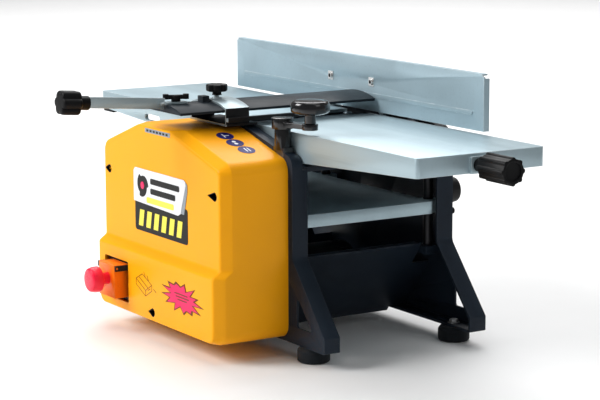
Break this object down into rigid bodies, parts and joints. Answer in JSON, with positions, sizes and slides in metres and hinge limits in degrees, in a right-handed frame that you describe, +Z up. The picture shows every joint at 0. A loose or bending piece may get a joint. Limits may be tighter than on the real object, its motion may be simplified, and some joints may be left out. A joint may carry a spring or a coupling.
{
  "type": "thickness planer",
  "caption": "Bench planer-thicknesser with surface tables, arched cutter guard and tilting fence above, and a crank-raised thicknessing table below one cutter block.",
  "frame": {"origin": "bottom centre of the whole machine's box, on the ground under the rubber feet", "axes": "+X along the tables towards the infeed end and its depth knob, +Y towards the fence, +Z up; the belt cover and switch face -Y"},
  "size_m": [0.801, 0.4876, 0.3285],
  "materials": {
    "frame_paint": "satin powder coat",
    "zinc_steel": "zinc plated",
    "bright_steel": "bright plated",
    "ground_steel": "ground",
    "dark_steel": "blackened",
    "knife_steel": "honed edge",
    "foot_rubber": "matte",
    "belt_rubber": "matte",
    "roller_rubber": "matte",
    "cover_yellow": "satin moulding",
    "black_plastic": "fine grain",
    "knob_black": "satin",
    "guard_black": "satin",
    "crank_black": "gloss",
    "motor_paint": "satin",
    "table_alloy": "machined",
    "fence_alloy": "anodised",
    "guard_alloy": "satin",
    "pulley_alloy": "turned",
    "nut_brass": "turned",
    "flap_orange": "satin",
    "stop_red": "gloss",
    "start_green": "gloss"
  },
  "bodies": {
    "frame": {"near_side_plate": "frame_paint", "far_side_plate": "frame_paint", "infeed_panel": "frame_paint", "outfeed_panel": "frame_paint", "tie_rods": "zinc_steel", "rubber_feet": "foot_rubber", "foot_screws": "zinc_steel", "cross_beams": "frame_paint", "guide_columns": "dark_steel", "column_brackets": "frame_paint", "belt_cover": "cover_yellow", "cover_screws": "dark_steel", "gear_cover": "black_plastic", "switch_box": "black_plastic", "cable_gland": "black_plastic", "motor_housing": "motor_paint", "cutter_bearings": "ground_steel", "drive_belt": "belt_rubber", "feed_chain": "dark_steel", "idler_axle": "zinc_steel", "chip_deflector": "frame_paint", "pawl_rod": "zinc_steel", "guard_post_guides": "black_plastic", "crank_post": "crank_black", "outfeed_table": "table_alloy", "outfeed_bumpers": "foot_rubber", "fence_bracket": "frame_paint", "fence_hinge_pin": "zinc_steel"},
    "infeed_table": {"infeed_table": "table_alloy"},
    "depth_control": {"depth_shaft": "ground_steel", "depth_knob": "knob_black"},
    "cutter": {"cutter_block": "ground_steel", "knives": "knife_steel", "knife_gibs": "zinc_steel", "cutter_pulley": "pulley_alloy"},
    "motor_rotor": {"motor_armature": "ground_steel", "motor_pulley": "pulley_alloy"},
    "idler": {"idler_gear": "knob_black"},
    "ribbed_feed_roller": {"ribbed_roller": "ground_steel", "ribbed_roller_sprocket": "dark_steel"},
    "smooth_feed_roller": {"smooth_roller": "roller_rubber", "smooth_roller_sprocket": "dark_steel"},
    "crank": {"lift_screw": "dark_steel", "crank_arm": "crank_black"},
    "crank_knob": {"crank_knob": "crank_black"},
    "thickness_table": {"thickness_bed": "table_alloy", "lift_nut": "nut_brass"},
    "fence": {"fence_plate": "fence_alloy", "fence_bolts": "bright_steel"},
    "fence_lock": {"fence_lock_knob": "knob_black"},
    "guard_bridge": {"guard_bridge": "guard_alloy"},
    "guard": {"guard_blade": "guard_black", "guard_bar": "guard_alloy"},
    "guard_lock": {"guard_star_knob": "knob_black"},
    "guard_wing": {"guard_wing": "knob_black"},
    "guard_knob": {"guard_end_knob": "knob_black"},
    "switch_flap": {"switch_flap": "flap_orange"},
    "stop_button": {"stop_button": "stop_red"},
    "start_button": {"start_button": "start_green"},
    "pawls": {"kickback_pawls": "dark_steel"}
  },
  "joints": [
    {"name": "infeed_depth", "type": "slide", "parent": "frame", "child": "infeed_table", "axis": [0, 0, 1], "range_m": [-0.003, 0]},
    {"name": "depth_knob_turn", "type": "hinge", "parent": "infeed_table", "child": "depth_control", "pos_m": [0.3365, 0.07282, 0.248], "axis": [1, 0, 0], "range_deg": [0, 180]},
    {"name": "cutter_spin", "type": "hinge", "parent": "frame", "child": "cutter", "pos_m": [-0.032, 0.07981, 0.2355], "axis": [0, 1, 0], "continuous": true},
    {"name": "motor_spin", "type": "hinge", "parent": "frame", "child": "motor_rotor", "pos_m": [-0.032, 0.07981, 0.062], "axis": [0, 1, 0], "continuous": true},
    {"name": "idler_spin", "type": "hinge", "parent": "frame", "child": "idler", "pos_m": [-0.032, 0.07981, 0.1905], "axis": [0, 1, 0], "continuous": true},
    {"name": "ribbed_roller_spin", "type": "hinge", "parent": "frame", "child": "ribbed_feed_roller", "pos_m": [-0.084, 0.07981, 0.219], "axis": [0, 1, 0], "continuous": true},
    {"name": "smooth_roller_spin", "type": "hinge", "parent": "frame", "child": "smooth_feed_roller", "pos_m": [0.02, 0.07981, 0.219], "axis": [0, 1, 0], "continuous": true},
    {"name": "crank_turn", "type": "hinge", "parent": "frame", "child": "crank", "pos_m": [0.0825, -0.01519, 0.264], "axis": [0, 0, 1], "range_deg": [-6120, 7200]},
    {"name": "table_lift", "type": "slide", "parent": "frame", "child": "thickness_table", "axis": [0, 0, 1], "range_m": [-0.034, 0.04]},
    {"name": "crank_knob_spin", "type": "hinge", "parent": "crank", "child": "crank_knob", "pos_m": [0.12519, -0.00454, 0.28], "axis": [0, 0, 1], "continuous": true},
    {"name": "fence_tilt", "type": "hinge", "parent": "frame", "child": "fence", "pos_m": [-0.046, 0.17882, 0.264], "axis": [1, 0, 0], "range_deg": [-45, 0]},
    {"name": "fence_lock_turn", "type": "hinge", "parent": "frame", "child": "fence_lock", "pos_m": [0.028, 0.17882, 0.264], "axis": [1, 0, 0], "range_deg": [-90, 90]},
    {"name": "guard_lift", "type": "slide", "parent": "frame", "child": "guard_bridge", "axis": [0, 0, 1], "range_m": [0, 0.04]},
    {"name": "guard_slide", "type": "slide", "parent": "guard_bridge", "child": "guard", "axis": [0, 1, 0], "range_m": [-0.15, 0]},
    {"name": "guard_lock_turn", "type": "hinge", "parent": "guard_bridge", "child": "guard_lock", "pos_m": [-0.031, -0.03719, 0.297], "axis": [0, 0, 1], "range_deg": [-180, 180]},
    {"name": "guard_wing_turn", "type": "hinge", "parent": "guard", "child": "guard_wing", "pos_m": [-0.031, -0.09219, 0.292], "axis": [0, 0, 1], "range_deg": [-90, 90]},
    {"name": "guard_end_knob_turn", "type": "hinge", "parent": "guard", "child": "guard_knob", "pos_m": [-0.031, -0.22789, 0.29641], "axis": [0, -0.9969, 0.0785], "range_deg": [-180, 180]},
    {"name": "flap_hinge", "type": "hinge", "parent": "frame", "child": "switch_flap", "pos_m": [-0.1385, -0.13068, 0.0785], "axis": [1, 0, 0], "range_deg": [-100, 0]},
    {"name": "stop_press", "type": "slide", "parent": "switch_flap", "child": "stop_button", "axis": [0, 1, 0], "range_m": [0, 0.004], "stiffness_N_per_m": 400, "springref_m": -0.002},
    {"name": "start_press", "type": "slide", "parent": "frame", "child": "start_button", "axis": [0, 1, 0], "range_m": [0, 0.003], "stiffness_N_per_m": 300, "springref_m": -0.002},
    {"name": "pawl_swing", "type": "hinge", "parent": "frame", "child": "pawls", "pos_m": [-0.114, 0.07981, 0.226], "axis": [0, 1, 0], "range_deg": [-60, 0]}
  ],
  "couplings": [
    {"joint": "depth_knob_turn", "follows": "infeed_depth", "rad_per_m": -1047.2},
    {"joint": "motor_spin", "follows": "cutter_spin", "ratio": 0.77778},
    {"joint": "idler_spin", "follows": "cutter_spin", "ratio": -0.2},
    {"joint": "ribbed_roller_spin", "follows": "cutter_spin", "ratio": -0.08},
    {"joint": "smooth_roller_spin", "follows": "cutter_spin", "ratio": -0.08},
    {"joint": "crank_turn", "follows": "table_lift", "rad_per_m": 3141.6}
  ]
}
